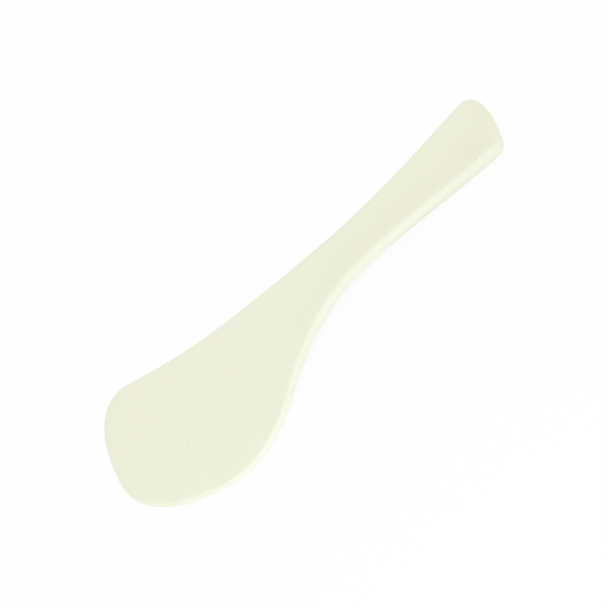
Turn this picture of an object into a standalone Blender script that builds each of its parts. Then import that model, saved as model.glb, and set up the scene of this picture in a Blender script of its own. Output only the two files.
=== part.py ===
"""Rice serving spoon, moulded in one piece, lying face up on a flat surface.

Lengths are in metres. The design axes start at the middle of the handle's end: X runs along the
handle to the front of the blade, Y points across it to the belly side of the blade, where it bulges,
and away from its straight side, and Z is the height above the surface. Every height follows from two
numbers: the place along X and the distance in from the outline.
"""
import math

import bmesh
import bpy
import numpy as np
from mathutils import Vector
from mathutils.geometry import interpolate_bezier

# Plan outline of the handle: RUN is measured from its end, INSET in from its belly side
HANDLE_LENGTH = 0.078           # end of the handle to the neck
END_WIDTH = 0.0273
END_CORNER = 0.0059             # radius of the handle's end on the straight side
END_TURN_RUN = 0.0050           # where the slanting end turns into the belly side
END_TURN_INSET = 0.0059
END_TURN_HEADING = math.radians(63)
END_SWEEP = 0.0114              # how far the end falls back towards the belly side
NECK_WIDTH = 0.0198
NECK_LEAN = math.radians(4.4)   # of the straight side at the neck, towards the blade's corner

# Plan outline of the blade: BACK is measured from its front, REACH from the handle's middle line
# and INSET in from the belly's reach
BLADE_LENGTH = 0.117            # neck to the front of the blade
FLARE_BACK = 0.0671             # where the belly side opens most steeply
FLARE_INSET = 0.0094
FLARE_HEADING = math.radians(31.4)
BELLY_BACK = 0.0382
BELLY_REACH = 0.0346
TURN_BACK = 0.018               # where the belly turns into the front
TURN_INSET = 0.0060
TURN_HEADING = math.radians(-26.2)
TIP_REACH = 0.0038              # the foremost point
FRONT_EDGE_BACK = 0.0021        # where the front edge leaves the tip for the corner
FRONT_EDGE_WIDTH = 0.010        # how far from the tip that is, across the blade
FRONT_EDGE_HEADING = math.radians(-103.2)
CORNER_BACK = 0.0283            # where the corner has turned into the straight side
CORNER_REACH = 0.0302
CORNER_HEADING = math.radians(158.5)

# Section of the edge, above and below the parting line, where the outline is widest
END_UPPER_EDGE = 0.0048
NECK_UPPER_EDGE = 0.0040
BLADE_UPPER_EDGE = 0.0018
FRONT_UPPER_EDGE = 0.0020
HANDLE_LOWER_EDGE = 0.0024
BLADE_LOWER_EDGE = 0.0011
HANDLE_CREST = 0.0026           # from the outline in to the top of the edge
BLADE_CREST = 0.0016
UNDER_ROUND = 0.005             # from the outline in to the flat of the underside
UPPER_FULLNESS = 2.4            # 2 is an ellipse, more is a steeper wall with a tighter crest
LOWER_FULLNESS = 2.0
NECK_HOLD = 0.025               # how far past the neck the edge keeps its height above the parting line
CREST_RUN = 0.045               # past the neck, its crest narrows over this length
FULL_BLADE_BACK = 0.025         # the edge has its blade section from here forward

# Hollow of the upper face, inside the crest, and how far in it takes to reach its full depth
END_HOLLOW = 0.0016
NECK_HOLLOW = 0.0004
BLADE_HOLLOW = 0.0002
END_HOLLOW_RUN = 0.010
NECK_HOLLOW_RUN = 0.0065
BLADE_HOLLOW_RUN = 0.022
HOLLOW_POWER = 1.5

# Arch of the underside between the pad under the handle's end and the flat under the blade
ARCH_HEIGHT = 0.003
END_PAD = 0.010
BLADE_FLAT_BACK = 0.045

# Places along X that follow from the sizes above
LENGTH = HANDLE_LENGTH + BLADE_LENGTH
FULL_BLADE = LENGTH - FULL_BLADE_BACK

# Facets
SPAN_STEPS = 32                 # along each span of the outline's curve
LENGTH_STEPS = 48
WIDTH_STEPS = 16
CREST_STEPS = 4
BOW_FADE = 6                    # how soon the rows across lose the bow of the two ends

# Ivory melamine, slightly green
COLOUR = (0.847, 0.855, 0.694, 1.0)
ROUGHNESS = 0.35


def ease(start, finish, x):
    """0 before start, 1 after finish, with a level start and finish between them."""
    share = np.clip((x - start) / (finish - start), 0.0, 1.0)
    return share * share * (3.0 - 2.0 * share)


def along(x, end, neck, blade, front, leave=HANDLE_LENGTH, reach=FULL_BLADE):
    """A size that changes along the spoon, from its values at four places.

    It leaves its value at the neck and reaches its value on the blade at the two given places.
    """
    size = end + (neck - end) * ease(0.0, HANDLE_LENGTH, x)
    size = size + (blade - neck) * ease(leave, reach, x)
    return size + (front - blade) * ease(FULL_BLADE, LENGTH, x)


def outline_sides():
    """The four sides of the outline as lists of knots: belly side, front, straight side and end.

    A knot is X, Y and the heading of the outline there. The knots go round with the spoon on their
    right, and each side begins with the last knot of the one before it.
    """
    end = END_WIDTH / 2
    neck = NECK_WIDTH / 2
    taper = math.atan2(end - neck, HANDLE_LENGTH - END_SWEEP)
    straight_taper = math.atan2(end - neck, HANDLE_LENGTH - END_CORNER)

    end_belly = (END_SWEEP, end, -taper)
    turn = (LENGTH - TURN_BACK, BELLY_REACH - TURN_INSET, TURN_HEADING)
    corner = (LENGTH - CORNER_BACK, -CORNER_REACH, CORNER_HEADING)
    end_straight = (END_CORNER, -end, math.pi + straight_taper)

    belly_side = [
        end_belly,
        (HANDLE_LENGTH, neck, 0.0),
        (LENGTH - FLARE_BACK, BELLY_REACH - FLARE_INSET, FLARE_HEADING),
        (LENGTH - BELLY_BACK, BELLY_REACH, 0.0),
        turn,
    ]
    front = [
        turn,
        (LENGTH, TIP_REACH, -math.pi / 2),
        (LENGTH - FRONT_EDGE_BACK, TIP_REACH - FRONT_EDGE_WIDTH, FRONT_EDGE_HEADING),
        corner,
    ]
    straight_side = [corner, (HANDLE_LENGTH, -neck, math.pi - NECK_LEAN), end_straight]
    handle_end = [
        end_straight,
        (0.0, END_CORNER - end, math.pi / 2),
        (END_TURN_RUN, end - END_TURN_INSET, END_TURN_HEADING),
        end_belly,
    ]
    return belly_side, front, straight_side, handle_end


def curve_between(start, finish):
    """Points from one knot to the next, on the curve that is an arc where both ends turn alike."""
    first = Vector(start[:2])
    last = Vector(finish[:2])
    turn = (finish[2] - start[2] + math.pi) % math.tau - math.pi
    share = 1 / (3 * math.cos(turn / 4) ** 2)   # of the chord, out to the curve's two handles
    reach = share * (last - first).length
    leave = first + reach * Vector((math.cos(start[2]), math.sin(start[2])))
    arrive = last - reach * Vector((math.cos(finish[2]), math.sin(finish[2])))
    return [tuple(point) for point in interpolate_bezier(first, leave, arrive, last, SPAN_STEPS + 1)]


def evenly(points, steps):
    """Points at equal distances along a polyline, without its last point."""
    points = np.array(points)
    run = np.concatenate([[0.0], np.cumsum(np.linalg.norm(np.diff(points, axis=0), axis=1))])
    at = np.linspace(0.0, run[-1], steps, endpoint=False)
    return np.column_stack([np.interp(at, run, points[:, 0]), np.interp(at, run, points[:, 1])])


def outline():
    """The outline at its mesh points, beginning where the belly side leaves the handle's end."""
    loop = []
    for knots, steps in zip(outline_sides(), (LENGTH_STEPS, WIDTH_STEPS, LENGTH_STEPS, WIDTH_STEPS)):
        spans = [curve_between(*pair) for pair in zip(knots, knots[1:])]
        side = [point for span in spans for point in span[:-1]] + [spans[-1][-1]]
        loop.append(evenly(side, steps))
    return np.concatenate(loop)


def crest_width(x):
    narrowed = HANDLE_LENGTH + CREST_RUN
    return along(x, HANDLE_CREST, HANDLE_CREST, BLADE_CREST, BLADE_CREST, reach=narrowed)


def rim_rings(loop):
    """Copies of the outline from its edge in to the crest, closest together at the edge."""
    ahead = np.roll(loop, -1, axis=0) - np.roll(loop, 1, axis=0)
    ahead /= np.linalg.norm(ahead, axis=1)[:, None]
    inward = np.column_stack([ahead[:, 1], -ahead[:, 0]])
    rings = []
    for step in range(CREST_STEPS + 1):
        angle = math.pi / 2 * step / CREST_STEPS
        inset = crest_width(loop[:, 0]) * (1.0 - math.cos(angle))
        rings.append(loop + inward * inset[:, None])
    return rings


def ring_place(i, j):
    """Index on a ring of the border point i steps along the spoon and j steps across it."""
    if j == WIDTH_STEPS and i < LENGTH_STEPS:
        return i
    if i == LENGTH_STEPS and j > 0:
        return LENGTH_STEPS + WIDTH_STEPS - j
    if j == 0 and i > 0:
        return 2 * LENGTH_STEPS + WIDTH_STEPS - i
    return 2 * LENGTH_STEPS + WIDTH_STEPS + j


def inner_grid(ring):
    """A grid that fills the innermost ring, straight across between its long sides and bowed at its ends."""
    def straight(i, across):
        return (1 - across) * ring[ring_place(i, 0)] + across * ring[ring_place(i, WIDTH_STEPS)]

    grid = np.zeros((LENGTH_STEPS + 1, WIDTH_STEPS + 1, 2))
    for j in range(WIDTH_STEPS + 1):
        across = j / WIDTH_STEPS
        end_bow = ring[ring_place(0, j)] - straight(0, across)
        front_bow = ring[ring_place(LENGTH_STEPS, j)] - straight(LENGTH_STEPS, across)
        for i in range(LENGTH_STEPS + 1):
            forward = i / LENGTH_STEPS
            bow = (1 - forward) ** BOW_FADE * end_bow + forward ** BOW_FADE * front_bow
            grid[i, j] = straight(i, across) + bow
    return grid


def distance_in(points, loop):
    """Distance of each point from the outline."""
    start = loop[None, :, :]
    span = np.roll(loop, -1, axis=0)[None, :, :] - start
    offset = points[:, None, :] - start
    share = np.clip((offset * span).sum(axis=2) / (span * span).sum(axis=2), 0.0, 1.0)
    return np.linalg.norm(offset - share[:, :, None] * span, axis=2).min(axis=1)


def rounded(share, fullness):
    """Height of a rounded edge, 0 at the outline and 1 from its full inset on."""
    left = np.clip(1.0 - share, 0.0, 1.0)
    return (1.0 - left ** fullness) ** (1.0 / fullness)


def arch(x):
    """Height of the underside's flat above the surface."""
    rise = ease(END_PAD, HANDLE_LENGTH, x)
    fall = ease(HANDLE_LENGTH, LENGTH - BLADE_FLAT_BACK, x)
    return ARCH_HEIGHT * rise * (1.0 - fall)


def lower_edge(x):
    return along(x, HANDLE_LOWER_EDGE, HANDLE_LOWER_EDGE, BLADE_LOWER_EDGE, BLADE_LOWER_EDGE)


def upper_height(x, inset):
    held = HANDLE_LENGTH + NECK_HOLD
    edge = along(x, END_UPPER_EDGE, NECK_UPPER_EDGE, BLADE_UPPER_EDGE, FRONT_UPPER_EDGE, leave=held)
    hollow = along(x, END_HOLLOW, NECK_HOLLOW, BLADE_HOLLOW, BLADE_HOLLOW)
    run = along(x, END_HOLLOW_RUN, NECK_HOLLOW_RUN, BLADE_HOLLOW_RUN, BLADE_HOLLOW_RUN)
    crest = crest_width(x)
    left = np.clip(1.0 - (inset - crest) / run, 0.0, 1.0)
    basin = (1.0 - left ** 2) ** HOLLOW_POWER
    return arch(x) + lower_edge(x) + edge * rounded(inset / crest, UPPER_FULLNESS) - hollow * basin


def under_height(x, inset):
    return arch(x) + lower_edge(x) * (1.0 - rounded(inset / UNDER_ROUND, LOWER_FULLNESS))


def add_sheet(bm, rings, grid, edge_verts, loop, height):
    """One face of the spoon, from the shared edge to the middle, as rows of quads facing up."""
    def add_verts(points):
        z = height(points[:, 0], distance_in(points, loop))
        return [bm.verts.new((x, y, h)) for (x, y), h in zip(points, z)]

    ring_verts = [edge_verts] + [add_verts(ring) for ring in rings[1:]]
    inside = add_verts(grid[1:-1, 1:-1].reshape(-1, 2))
    columns = WIDTH_STEPS - 1

    def grid_vert(i, j):
        if 0 < i < LENGTH_STEPS and 0 < j < WIDTH_STEPS:
            return inside[(i - 1) * columns + j - 1]
        return ring_verts[-1][ring_place(i, j)]

    faces = []
    for outer, inner in zip(ring_verts, ring_verts[1:]):
        for k in range(len(outer)):
            following = (k + 1) % len(outer)
            faces.append((outer[k], inner[k], inner[following], outer[following]))
    for i in range(LENGTH_STEPS):
        for j in range(WIDTH_STEPS):
            corners = ((i, j), (i + 1, j), (i + 1, j + 1), (i, j + 1))
            faces.append(tuple(grid_vert(*corner) for corner in corners))
    return faces


def spoon_mesh(name):
    loop = outline()
    rings = rim_rings(loop)
    grid = inner_grid(rings[-1])
    bm = bmesh.new()
    edge_z = under_height(loop[:, 0], np.zeros(len(loop)))
    edge_verts = [bm.verts.new((x, y, z)) for (x, y), z in zip(loop, edge_z)]
    for face in add_sheet(bm, rings, grid, edge_verts, loop, upper_height):
        bm.faces.new(face)
    for face in add_sheet(bm, rings, grid, edge_verts, loop, under_height):
        bm.faces.new(reversed(face))
    # The part's origin lies on the surface, under the middle of the spoon's box
    middle = (loop.min(axis=0) + loop.max(axis=0)) / 2
    bmesh.ops.translate(bm, verts=bm.verts, vec=(-middle[0], -middle[1], 0.0))
    mesh = bpy.data.meshes.new(name)
    bm.to_mesh(mesh)
    bm.free()
    mesh.shade_smooth()
    return mesh


def melamine():
    material = bpy.data.materials.new("ivory_melamine")
    material.use_nodes = True
    shader = material.node_tree.nodes["Principled BSDF"]
    shader.inputs["Base Color"].default_value = COLOUR
    shader.inputs["Roughness"].default_value = ROUGHNESS
    shader.inputs["Metallic"].default_value = 0.0
    return material


def main():
    for old in list(bpy.data.objects):
        bpy.data.objects.remove(old, do_unlink=True)
    mesh = spoon_mesh("rice_spoon")
    mesh.materials.append(melamine())
    spoon = bpy.data.objects.new("rice_spoon", mesh)
    bpy.context.scene.collection.objects.link(spoon)


main()
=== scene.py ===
"""Looks of the rice serving spoon: a fine mesh of its form, its finish, the floor, light and camera.

Lengths are in metres. The form follows the part's own sizes and formulas. The design axes start at the
middle of the handle's end: X runs along the handle to the front of the blade, Y points across it to the
belly side of the blade, where it bulges, and Z is the height above the floor. Every height follows from
two numbers: the place along X and the distance in from the outline.
"""
import math

import bmesh
import bpy
import numpy as np
from mathutils import Matrix, Vector
from mathutils.geometry import interpolate_bezier


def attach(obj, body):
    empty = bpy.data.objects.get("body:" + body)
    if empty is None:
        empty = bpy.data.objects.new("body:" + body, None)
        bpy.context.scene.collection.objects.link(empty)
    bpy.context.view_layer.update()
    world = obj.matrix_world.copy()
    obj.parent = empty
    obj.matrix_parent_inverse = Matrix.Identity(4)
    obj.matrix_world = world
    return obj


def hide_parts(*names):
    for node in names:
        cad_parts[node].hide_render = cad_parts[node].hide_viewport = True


# Plan outline of the handle: RUN is measured from its end, INSET in from its belly side
HANDLE_LENGTH = 0.078           # end of the handle to the neck
END_WIDTH = 0.0273
END_CORNER = 0.0059             # radius of the handle's end on the straight side
END_TURN_RUN = 0.0050           # where the slanting end turns into the belly side
END_TURN_INSET = 0.0059
END_TURN_HEADING = math.radians(63)
END_SWEEP = 0.0114              # how far the end falls back towards the belly side
NECK_WIDTH = 0.0198
NECK_LEAN = math.radians(4.4)   # of the straight side at the neck, towards the blade's corner

# Plan outline of the blade: BACK is measured from its front, REACH from the handle's middle line
# and INSET in from the belly's reach
BLADE_LENGTH = 0.117            # neck to the front of the blade
FLARE_BACK = 0.0671             # where the belly side opens most steeply
FLARE_INSET = 0.0094
FLARE_HEADING = math.radians(31.4)
BELLY_BACK = 0.0382
BELLY_REACH = 0.0346
TURN_BACK = 0.018               # where the belly turns into the front
TURN_INSET = 0.0060
TURN_HEADING = math.radians(-26.2)
TIP_REACH = 0.0038              # the foremost point
FRONT_EDGE_BACK = 0.0021        # where the front edge leaves the tip for the corner
FRONT_EDGE_WIDTH = 0.010        # how far from the tip that is, across the blade
FRONT_EDGE_HEADING = math.radians(-103.2)
CORNER_BACK = 0.0283            # where the corner has turned into the straight side
CORNER_REACH = 0.0302
CORNER_HEADING = math.radians(158.5)

# Section of the edge, above and below the parting line, where the outline is widest
END_UPPER_EDGE = 0.0048
NECK_UPPER_EDGE = 0.0040
BLADE_UPPER_EDGE = 0.0018
FRONT_UPPER_EDGE = 0.0020
HANDLE_LOWER_EDGE = 0.0024
BLADE_LOWER_EDGE = 0.0011
HANDLE_CREST = 0.0026           # from the outline in to the top of the edge
BLADE_CREST = 0.0016
UNDER_ROUND = 0.005             # from the outline in to the flat of the underside
UPPER_FULLNESS = 2.4            # 2 is an ellipse, more is a steeper wall with a tighter crest
LOWER_FULLNESS = 2.0
NECK_HOLD = 0.025               # how far past the neck the edge keeps its height above the parting line
CREST_RUN = 0.045               # past the neck, its crest narrows over this length
FULL_BLADE_BACK = 0.025         # the edge has its blade section from here forward

# Hollow of the upper face, inside the crest, and how far in it takes to reach its full depth
END_HOLLOW = 0.0016
NECK_HOLLOW = 0.0004
BLADE_HOLLOW = 0.0002
END_HOLLOW_RUN = 0.010
NECK_HOLLOW_RUN = 0.0065
BLADE_HOLLOW_RUN = 0.022
HOLLOW_POWER = 1.5

# Arch of the underside between the pad under the handle's end and the flat under the blade
ARCH_HEIGHT = 0.003
END_PAD = 0.010
BLADE_FLAT_BACK = 0.045

# Places along X that follow from the sizes above
LENGTH = HANDLE_LENGTH + BLADE_LENGTH
FULL_BLADE = LENGTH - FULL_BLADE_BACK

# Facets
SPAN_STEPS = 96                 # along each span of the outline's curve
LENGTH_STEPS = 160
WIDTH_STEPS = 48
RIM_STEPS = 14
UNDER_RIM = 0.0035              # width of the underside's rings, less than the radius of the tightest bend
BOW_FADE = 6                    # how soon the rows across lose the bow of the two ends

# Ivory of the melamine, mottled between two tones
DEEP_IVORY = (0.842, 0.847, 0.666, 1.0)
PALE_IVORY = (0.869, 0.872, 0.693, 1.0)
MOTTLE_SIZE = 0.025
MOTTLE_DETAIL = 6.0
MOTTLE_RANGE = (0.2, 0.8)       # of the noise, from the one tone to the other

# Satin gloss, uneven from place to place
IOR = 1.5
GLOSS_SIZE = 0.012
GLOSS_DETAIL = 3.0
GLOSS_RANGE = (0.3, 0.7)        # of the noise, from the least roughness to the most
LEAST_ROUGHNESS = 0.29
MOST_ROUGHNESS = 0.36

# Relief of the surface: shallow waves from the mould and a fine grain
WAVE_SIZE = 0.006
WAVE_HEIGHT = 6e-5
GRAIN_SIZE = 0.0005
GRAIN_HEIGHT = 1e-5
RELIEF_DETAIL = 2.0

# Parting line along the handle's edge, with painted shade: its colour darkens the lower edge of the handle
# around the line, most halfway along the handle
# Colour of the painted shade along the parting line
SEAM_SHADE_COLOUR = (0.62, 0.63, 0.45, 1.0)
SEAM_SHADE_SHARE = 0.35               # of its colour, where it is strongest
SEAM_ROUGHNESS = 0.2            # added where it is strongest
SEAM_FADE = 0.58                # from one ring of the mesh to the next one in

# Specks of dust: place on the design axes and radius
SPECK_COLOUR = (0.40, 0.39, 0.29, 1.0)
SPECK_RIM = 1.4                 # times the radius, where a speck begins
SPECK_CORE = 0.6                # times the radius, where it has its full colour
SPECKS = (
    ((0.0194, 0.0106, 0.0072), 0.00021),
    ((0.1766, 0.0001, 0.0028), 0.00017),
    ((0.1675, 0.0093, 0.0027), 0.00018),
    ((0.0974, -0.0058, 0.0085), 0.00011),
    ((0.0887, 0.0081, 0.0092), 0.00014),
)

# Light: an even white world and one low, bluish lamp on the belly side, placed in the part's frame
WHITE = (1.0, 1.0, 1.0, 1.0)
WORLD_STRENGTH = 0.957
KEY_POWER = 0.17
KEY_WIDTH = 0.30
KEY_HEIGHT = 0.08
KEY_PLACE = Vector((0.06, 0.25, 0.07))
KEY_AIM = Vector((0.06, 0.0, 0.0))
KEY_COLOUR = (0.65, 0.72, 1.0)

# Floor
FLOOR_REACH = 3.0               # from its middle to each side
FLOOR_DROP = 0.0002             # below the spoon, so that the two don't share a plane
FLOOR_COLOUR = (0.95, 0.95, 0.95, 1.0)
FLOOR_WHITE = 0.92              # share of plain white in what is seen of it; the rest keeps the shadow

# Camera
TARGET = Vector((0.1012, 0.00119, 0.004))   # on the design axes, in the middle of the picture
TILT = math.radians(36.0)       # of the view, from straight down
TURN = math.radians(-10.0)      # of the viewpoint about Z, from the belly side
AXIS = math.radians(135.62)     # of the picture against the spoon's length
DISTANCE = 0.61841
FOCAL_LENGTH = 100.0            # in millimetres, as the next one
SENSOR_WIDTH = 36.0
CLIP_START = 0.01
CLIP_END = 20.0


def ease(start, finish, x):
    """0 before start, 1 after finish, with a level start and finish between them."""
    share = np.clip((x - start) / (finish - start), 0.0, 1.0)
    return share * share * (3.0 - 2.0 * share)


def along(x, end, neck, blade, front, leave=HANDLE_LENGTH, reach=FULL_BLADE):
    """A size that changes along the spoon, from its values at four places.

    It leaves its value at the neck and reaches its value on the blade at the two given places.
    """
    size = end + (neck - end) * ease(0.0, HANDLE_LENGTH, x)
    size = size + (blade - neck) * ease(leave, reach, x)
    return size + (front - blade) * ease(FULL_BLADE, LENGTH, x)


def outline_sides():
    """The four sides of the outline as lists of knots: belly side, front, straight side and end.

    A knot is X, Y and the heading of the outline there. The knots go round with the spoon on their
    right, and each side begins with the last knot of the one before it.
    """
    end = END_WIDTH / 2
    neck = NECK_WIDTH / 2
    taper = math.atan2(end - neck, HANDLE_LENGTH - END_SWEEP)
    straight_taper = math.atan2(end - neck, HANDLE_LENGTH - END_CORNER)

    end_belly = (END_SWEEP, end, -taper)
    turn = (LENGTH - TURN_BACK, BELLY_REACH - TURN_INSET, TURN_HEADING)
    corner = (LENGTH - CORNER_BACK, -CORNER_REACH, CORNER_HEADING)
    end_straight = (END_CORNER, -end, math.pi + straight_taper)

    belly_side = [
        end_belly,
        (HANDLE_LENGTH, neck, 0.0),
        (LENGTH - FLARE_BACK, BELLY_REACH - FLARE_INSET, FLARE_HEADING),
        (LENGTH - BELLY_BACK, BELLY_REACH, 0.0),
        turn,
    ]
    front = [
        turn,
        (LENGTH, TIP_REACH, -math.pi / 2),
        (LENGTH - FRONT_EDGE_BACK, TIP_REACH - FRONT_EDGE_WIDTH, FRONT_EDGE_HEADING),
        corner,
    ]
    straight_side = [corner, (HANDLE_LENGTH, -neck, math.pi - NECK_LEAN), end_straight]
    handle_end = [
        end_straight,
        (0.0, END_CORNER - end, math.pi / 2),
        (END_TURN_RUN, end - END_TURN_INSET, END_TURN_HEADING),
        end_belly,
    ]
    return belly_side, front, straight_side, handle_end


def curve_between(start, finish):
    """Points from one knot to the next, on the curve that is an arc where both ends turn alike."""
    first = Vector(start[:2])
    last = Vector(finish[:2])
    turn = (finish[2] - start[2] + math.pi) % math.tau - math.pi
    share = 1 / (3 * math.cos(turn / 4) ** 2)   # of the chord, out to the curve's two handles
    reach = share * (last - first).length
    leave = first + reach * Vector((math.cos(start[2]), math.sin(start[2])))
    arrive = last - reach * Vector((math.cos(finish[2]), math.sin(finish[2])))
    return [tuple(point) for point in interpolate_bezier(first, leave, arrive, last, SPAN_STEPS + 1)]


def evenly(points, steps):
    """Points at equal distances along a polyline, without its last point."""
    points = np.array(points)
    run = np.concatenate([[0.0], np.cumsum(np.linalg.norm(np.diff(points, axis=0), axis=1))])
    at = np.linspace(0.0, run[-1], steps, endpoint=False)
    return np.column_stack([np.interp(at, run, points[:, 0]), np.interp(at, run, points[:, 1])])


def outline():
    """The outline at its mesh points, beginning where the belly side leaves the handle's end."""
    loop = []
    for knots, steps in zip(outline_sides(), (LENGTH_STEPS, WIDTH_STEPS, LENGTH_STEPS, WIDTH_STEPS)):
        spans = [curve_between(*pair) for pair in zip(knots, knots[1:])]
        side = [point for span in spans for point in span[:-1]] + [spans[-1][-1]]
        loop.append(evenly(side, steps))
    return np.concatenate(loop)


def crest_width(x):
    narrowed = HANDLE_LENGTH + CREST_RUN
    return along(x, HANDLE_CREST, HANDLE_CREST, BLADE_CREST, BLADE_CREST, reach=narrowed)


def rim_rings(loop, width):
    """Copies of the outline from its edge in to the given width, closest together at the edge."""
    ahead = np.roll(loop, -1, axis=0) - np.roll(loop, 1, axis=0)
    ahead /= np.linalg.norm(ahead, axis=1)[:, None]
    inward = np.column_stack([ahead[:, 1], -ahead[:, 0]])
    rings = []
    for step in range(RIM_STEPS + 1):
        angle = math.pi / 2 * step / RIM_STEPS
        inset = width * (1.0 - math.cos(angle))
        rings.append(loop + inward * inset[:, None])
    return rings


def ring_place(i, j):
    """Index on a ring of the border point i steps along the spoon and j steps across it."""
    if j == WIDTH_STEPS and i < LENGTH_STEPS:
        return i
    if i == LENGTH_STEPS and j > 0:
        return LENGTH_STEPS + WIDTH_STEPS - j
    if j == 0 and i > 0:
        return 2 * LENGTH_STEPS + WIDTH_STEPS - i
    return 2 * LENGTH_STEPS + WIDTH_STEPS + j


def inner_grid(ring):
    """A grid that fills the innermost ring, straight across between its long sides and bowed at its ends."""
    def straight(i, across):
        return (1 - across) * ring[ring_place(i, 0)] + across * ring[ring_place(i, WIDTH_STEPS)]

    grid = np.zeros((LENGTH_STEPS + 1, WIDTH_STEPS + 1, 2))
    for j in range(WIDTH_STEPS + 1):
        across = j / WIDTH_STEPS
        end_bow = ring[ring_place(0, j)] - straight(0, across)
        front_bow = ring[ring_place(LENGTH_STEPS, j)] - straight(LENGTH_STEPS, across)
        for i in range(LENGTH_STEPS + 1):
            forward = i / LENGTH_STEPS
            bow = (1 - forward) ** BOW_FADE * end_bow + forward ** BOW_FADE * front_bow
            grid[i, j] = straight(i, across) + bow
    return grid


def distance_in(points, loop):
    """Distance of each point from the outline."""
    nearest = np.full(len(points), np.inf)
    for start, finish in zip(loop, np.roll(loop, -1, axis=0)):
        span = finish - start
        offset = points - start
        share = np.clip(offset @ span / (span @ span), 0.0, 1.0)
        gap = np.linalg.norm(offset - share[:, None] * span, axis=1)
        nearest = np.minimum(nearest, gap)
    return nearest


def rounded(share, fullness):
    """Height of a rounded edge, 0 at the outline and 1 from its full inset on."""
    left = np.clip(1.0 - share, 0.0, 1.0)
    return (1.0 - left ** fullness) ** (1.0 / fullness)


def arch(x):
    """Height of the underside's flat above the floor."""
    rise = ease(END_PAD, HANDLE_LENGTH, x)
    fall = ease(HANDLE_LENGTH, LENGTH - BLADE_FLAT_BACK, x)
    return ARCH_HEIGHT * rise * (1.0 - fall)


def lower_edge(x):
    return along(x, HANDLE_LOWER_EDGE, HANDLE_LOWER_EDGE, BLADE_LOWER_EDGE, BLADE_LOWER_EDGE)


def upper_height(x, inset):
    held = HANDLE_LENGTH + NECK_HOLD
    edge = along(x, END_UPPER_EDGE, NECK_UPPER_EDGE, BLADE_UPPER_EDGE, FRONT_UPPER_EDGE, leave=held)
    hollow = along(x, END_HOLLOW, NECK_HOLLOW, BLADE_HOLLOW, BLADE_HOLLOW)
    run = along(x, END_HOLLOW_RUN, NECK_HOLLOW_RUN, BLADE_HOLLOW_RUN, BLADE_HOLLOW_RUN)
    crest = crest_width(x)
    left = np.clip(1.0 - (inset - crest) / run, 0.0, 1.0)
    basin = (1.0 - left ** 2) ** HOLLOW_POWER
    return arch(x) + lower_edge(x) + edge * rounded(inset / crest, UPPER_FULLNESS) - hollow * basin


def under_height(x, inset):
    return arch(x) + lower_edge(x) * (1.0 - rounded(inset / UNDER_ROUND, LOWER_FULLNESS))


def shaded_seam_strength(x, ring):
    """Strength of the parting line and of the painted shade along it, greatest halfway along the handle and
    on the edge, which is ring 0.
    """
    return SEAM_FADE ** ring * math.sin(math.pi * min(x / HANDLE_LENGTH, 1.0)) ** 2


def add_sheet(bm, rings, edge_verts, loop, height):
    """One face of the spoon, from the shared edge to the middle, as rows of quads facing up."""
    def add_verts(points):
        z = height(points[:, 0], distance_in(points, loop))
        return [bm.verts.new((x, y, h)) for (x, y), h in zip(points, z)]

    ring_verts = [edge_verts] + [add_verts(ring) for ring in rings[1:]]
    # Each vertex gets the strength of the parting line and of the painted shade along it
    shaded_seam = bm.verts.layers.float["shaded_seam"]
    for step, ring in enumerate(ring_verts):
        for vert in ring:
            vert[shaded_seam] = shaded_seam_strength(vert.co.x, step)
    grid = inner_grid(rings[-1])
    inside = add_verts(grid[1:-1, 1:-1].reshape(-1, 2))
    columns = WIDTH_STEPS - 1

    def grid_vert(i, j):
        if 0 < i < LENGTH_STEPS and 0 < j < WIDTH_STEPS:
            return inside[(i - 1) * columns + j - 1]
        return ring_verts[-1][ring_place(i, j)]

    faces = []
    for outer, inner in zip(ring_verts, ring_verts[1:]):
        for k in range(len(outer)):
            following = (k + 1) % len(outer)
            faces.append((outer[k], inner[k], inner[following], outer[following]))
    for i in range(LENGTH_STEPS):
        for j in range(WIDTH_STEPS):
            corners = ((i, j), (i + 1, j), (i + 1, j + 1), (i, j + 1))
            faces.append(tuple(grid_vert(*corner) for corner in corners))
    return faces


def spoon_mesh(name):
    """The spoon's mesh in the part's frame, and where the design axes start there."""
    loop = outline()
    bm = bmesh.new()
    # Strength of the parting line and of the painted shade along it
    bm.verts.layers.float.new("shaded_seam")
    edge_z = under_height(loop[:, 0], np.zeros(len(loop)))
    edge_verts = [bm.verts.new((x, y, z)) for (x, y), z in zip(loop, edge_z)]
    upper_rings = rim_rings(loop, crest_width(loop[:, 0]))
    under_rings = rim_rings(loop, np.full(len(loop), UNDER_RIM))
    for face in add_sheet(bm, upper_rings, edge_verts, loop, upper_height):
        bm.faces.new(face)
    for face in add_sheet(bm, under_rings, edge_verts, loop, under_height):
        bm.faces.new(reversed(face))
    # The part's origin lies on the floor, under the middle of the spoon's box
    middle = (loop.min(axis=0) + loop.max(axis=0)) / 2
    start = Vector((-middle[0], -middle[1], 0.0))
    bmesh.ops.translate(bm, verts=bm.verts, vec=start)
    mesh = bpy.data.meshes.new(name)
    bm.to_mesh(mesh)
    bm.free()
    mesh.shade_smooth()
    return mesh, start


def add_node(tree, kind, inputs, **settings):
    """A shader node with its settings made and its inputs set, or linked where a socket is given."""
    node = tree.nodes.new(kind)
    for name, value in settings.items():
        setattr(node, name, value)
    for key, value in inputs.items():
        if isinstance(value, bpy.types.NodeSocket):
            tree.links.new(value, node.inputs[key])
        else:
            node.inputs[key].default_value = value
    return node


def combine(tree, operation, first, second):
    return add_node(tree, "ShaderNodeMath", {0: first, 1: second}, operation=operation).outputs["Value"]


def remap(tree, value, low, high, to_low, to_high):
    """A value taken smoothly from one range to another and held at its ends."""
    inputs = {"Value": value, "From Min": low, "From Max": high, "To Min": to_low, "To Max": to_high}
    return add_node(tree, "ShaderNodeMapRange", inputs, interpolation_type="SMOOTHSTEP").outputs["Result"]


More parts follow.
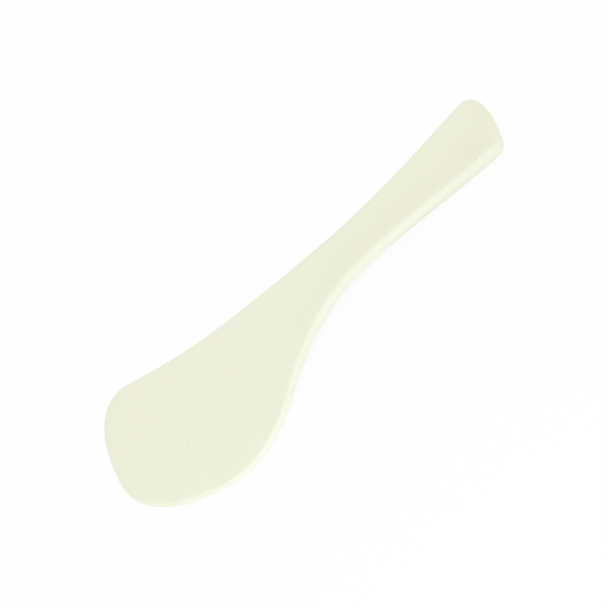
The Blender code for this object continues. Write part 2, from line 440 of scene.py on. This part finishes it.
def noise(tree, place, size, detail):
    """Noise with forms of about the given length."""
    inputs = {"Vector": place, "Scale": 1.0 / size, "Detail": detail}
    return add_node(tree, "ShaderNodeTexNoise", inputs).outputs["Fac"]


def over(tree, base, layer, share):
    """A colour laid over another one by a share."""
    inputs = {"Factor": share, "A": base, "B": layer}
    return add_node(tree, "ShaderNodeMix", inputs, data_type="RGBA").outputs["Result"]


def mottled_ivory(tree, place):
    ramp = add_node(tree, "ShaderNodeValToRGB", {"Fac": noise(tree, place, MOTTLE_SIZE, MOTTLE_DETAIL)})
    tones = zip(ramp.color_ramp.elements, MOTTLE_RANGE, (DEEP_IVORY, PALE_IVORY))
    for element, position, colour in tones:
        element.position = position
        element.color = colour
    return ramp.outputs["Color"]


def dust(tree, place, start):
    """1 in the specks and 0 elsewhere."""
    share = None
    for centre, radius in SPECKS:
        inputs = {0: place, 1: start + Vector(centre)}
        gap = add_node(tree, "ShaderNodeVectorMath", inputs, operation="DISTANCE").outputs["Value"]
        speck = remap(tree, gap, SPECK_RIM * radius, SPECK_CORE * radius, 0.0, 1.0)
        share = speck if share is None else combine(tree, "MAXIMUM", share, speck)
    return share


def relief(tree, place, size, height, normal=None):
    """The surface's normal with noise of the given size and height added to it."""
    inputs = {"Height": noise(tree, place, size, RELIEF_DETAIL), "Strength": 1.0, "Distance": height}
    if normal is not None:
        inputs["Normal"] = normal
    return add_node(tree, "ShaderNodeBump", inputs).outputs["Normal"]


def melamine(start):
    """Satin ivory melamine: a faint mottle, fine grain, uneven gloss, specks of dust and a parting line,
    with painted shade along the handle's lower edge.
    """
    material = bpy.data.materials.new("ivory_melamine")
    material.use_nodes = True
    tree = material.node_tree
    link = tree.links.new
    shader = tree.nodes["Principled BSDF"]
    shader.inputs["IOR"].default_value = IOR
    place = add_node(tree, "ShaderNodeTexCoord", {}).outputs["Object"]
    # Strength of the parting line and of the painted shade along it
    shaded_seam = add_node(tree, "ShaderNodeAttribute", {}, attribute_name="shaded_seam").outputs["Fac"]

    colour = over(tree, mottled_ivory(tree, place), SPECK_COLOUR, dust(tree, place, start))
    # Painted shade: the handle's lower edge darkened around the parting line
    colour = over(tree, colour, SEAM_SHADE_COLOUR, combine(tree, "MULTIPLY", shaded_seam, SEAM_SHADE_SHARE))
    link(colour, shader.inputs["Base Color"])

    gloss = noise(tree, place, GLOSS_SIZE, GLOSS_DETAIL)
    roughness = remap(tree, gloss, *GLOSS_RANGE, LEAST_ROUGHNESS, MOST_ROUGHNESS)
    dulled = combine(tree, "MULTIPLY", shaded_seam, SEAM_ROUGHNESS)
    link(combine(tree, "ADD", roughness, dulled), shader.inputs["Roughness"])

    waved = relief(tree, place, WAVE_SIZE, WAVE_HEIGHT)
    link(relief(tree, place, GRAIN_SIZE, GRAIN_HEIGHT, waved), shader.inputs["Normal"])
    return material


def seen_directly(tree):
    """1 for what the camera, a reflection or a glass shows, and 0 for light that falls on something."""
    path = add_node(tree, "ShaderNodeLightPath", {}).outputs
    mirrored = combine(tree, "MAXIMUM", path["Is Camera Ray"], path["Is Glossy Ray"])
    return combine(tree, "MAXIMUM", mirrored, path["Is Transmission Ray"])


def add_world():
    """An even white world that looks fully white and lights a little less."""
    world = bpy.data.worlds.new("studio")
    world.use_nodes = True
    bpy.context.scene.world = world
    tree = world.node_tree
    back = tree.nodes["Background"]
    back.inputs["Color"].default_value = WHITE
    strength = remap(tree, seen_directly(tree), 0.0, 1.0, WORLD_STRENGTH, 1.0)
    tree.links.new(strength, back.inputs["Strength"])


def white_floor():
    """Pale paint that looks nearly white and keeps a faint shadow."""
    material = bpy.data.materials.new("white_floor")
    material.use_nodes = True
    tree = material.node_tree
    tree.nodes.clear()
    paint = add_node(tree, "ShaderNodeBsdfDiffuse", {"Color": FLOOR_COLOUR}).outputs["BSDF"]
    white = add_node(tree, "ShaderNodeEmission", {"Color": WHITE, "Strength": 1.0}).outputs["Emission"]
    share = combine(tree, "MULTIPLY", seen_directly(tree), FLOOR_WHITE)
    mix = add_node(tree, "ShaderNodeMixShader", {0: share, 1: paint, 2: white}).outputs["Shader"]
    add_node(tree, "ShaderNodeOutputMaterial", {"Surface": mix})
    return material


def add_floor():
    mesh = bpy.data.meshes.new("floor")
    bm = bmesh.new()
    bmesh.ops.create_grid(bm, x_segments=1, y_segments=1, size=FLOOR_REACH)
    bm.to_mesh(mesh)
    bm.free()
    mesh.materials.append(white_floor())
    floor = bpy.data.objects.new("floor", mesh)
    floor.location = (0.0, 0.0, -FLOOR_DROP)
    bpy.context.scene.collection.objects.link(floor)


def add_lamp():
    lamp = bpy.data.lights.new("key", "AREA")
    lamp.shape = "RECTANGLE"
    lamp.size = KEY_WIDTH
    lamp.size_y = KEY_HEIGHT
    lamp.energy = KEY_POWER
    lamp.color = KEY_COLOUR
    key = bpy.data.objects.new("key", lamp)
    key.location = KEY_PLACE
    key.rotation_euler = (KEY_PLACE - KEY_AIM).to_track_quat("Z", "Y").to_euler()
    bpy.context.scene.collection.objects.link(key)


def add_camera(start):
    """The photograph's camera, turned so that the spoon lies aslant in the picture."""
    lens = bpy.data.cameras.new("camera")
    lens.lens = FOCAL_LENGTH
    lens.sensor_width = SENSOR_WIDTH
    lens.clip_start = CLIP_START
    lens.clip_end = CLIP_END
    view = bpy.data.objects.new("camera", lens)
    back = Vector((-math.sin(TURN) * math.sin(TILT), math.cos(TURN) * math.sin(TILT), math.cos(TILT)))
    lengthwise = Vector((1.0, 0.0, 0.0))
    lengthwise = (lengthwise - lengthwise.dot(back) * back).normalized()
    crosswise = back.cross(lengthwise)
    right = math.cos(AXIS) * lengthwise + math.sin(AXIS) * crosswise
    up = -math.sin(AXIS) * lengthwise + math.cos(AXIS) * crosswise
    turned = Matrix((right, up, back)).transposed().to_4x4()
    view.matrix_world = Matrix.Translation(start + TARGET + DISTANCE * back) @ turned
    bpy.context.scene.collection.objects.link(view)
    bpy.context.scene.camera = view


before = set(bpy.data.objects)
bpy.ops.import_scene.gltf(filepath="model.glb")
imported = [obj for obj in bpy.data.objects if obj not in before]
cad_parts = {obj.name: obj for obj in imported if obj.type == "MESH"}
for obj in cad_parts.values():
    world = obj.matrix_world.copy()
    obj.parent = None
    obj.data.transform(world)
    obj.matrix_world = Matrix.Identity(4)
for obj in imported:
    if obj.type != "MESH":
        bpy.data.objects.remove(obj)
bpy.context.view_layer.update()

mesh, start = spoon_mesh("rice_spoon_moulding")
mesh.materials.append(melamine(start))
spoon = bpy.data.objects.new("rice_spoon_moulding", mesh)
bpy.context.scene.collection.objects.link(spoon)
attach(spoon, "root")
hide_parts("rice_spoon")

bpy.context.scene.view_settings.view_transform = "Standard"
add_world()
add_floor()
add_lamp()
add_camera(start)
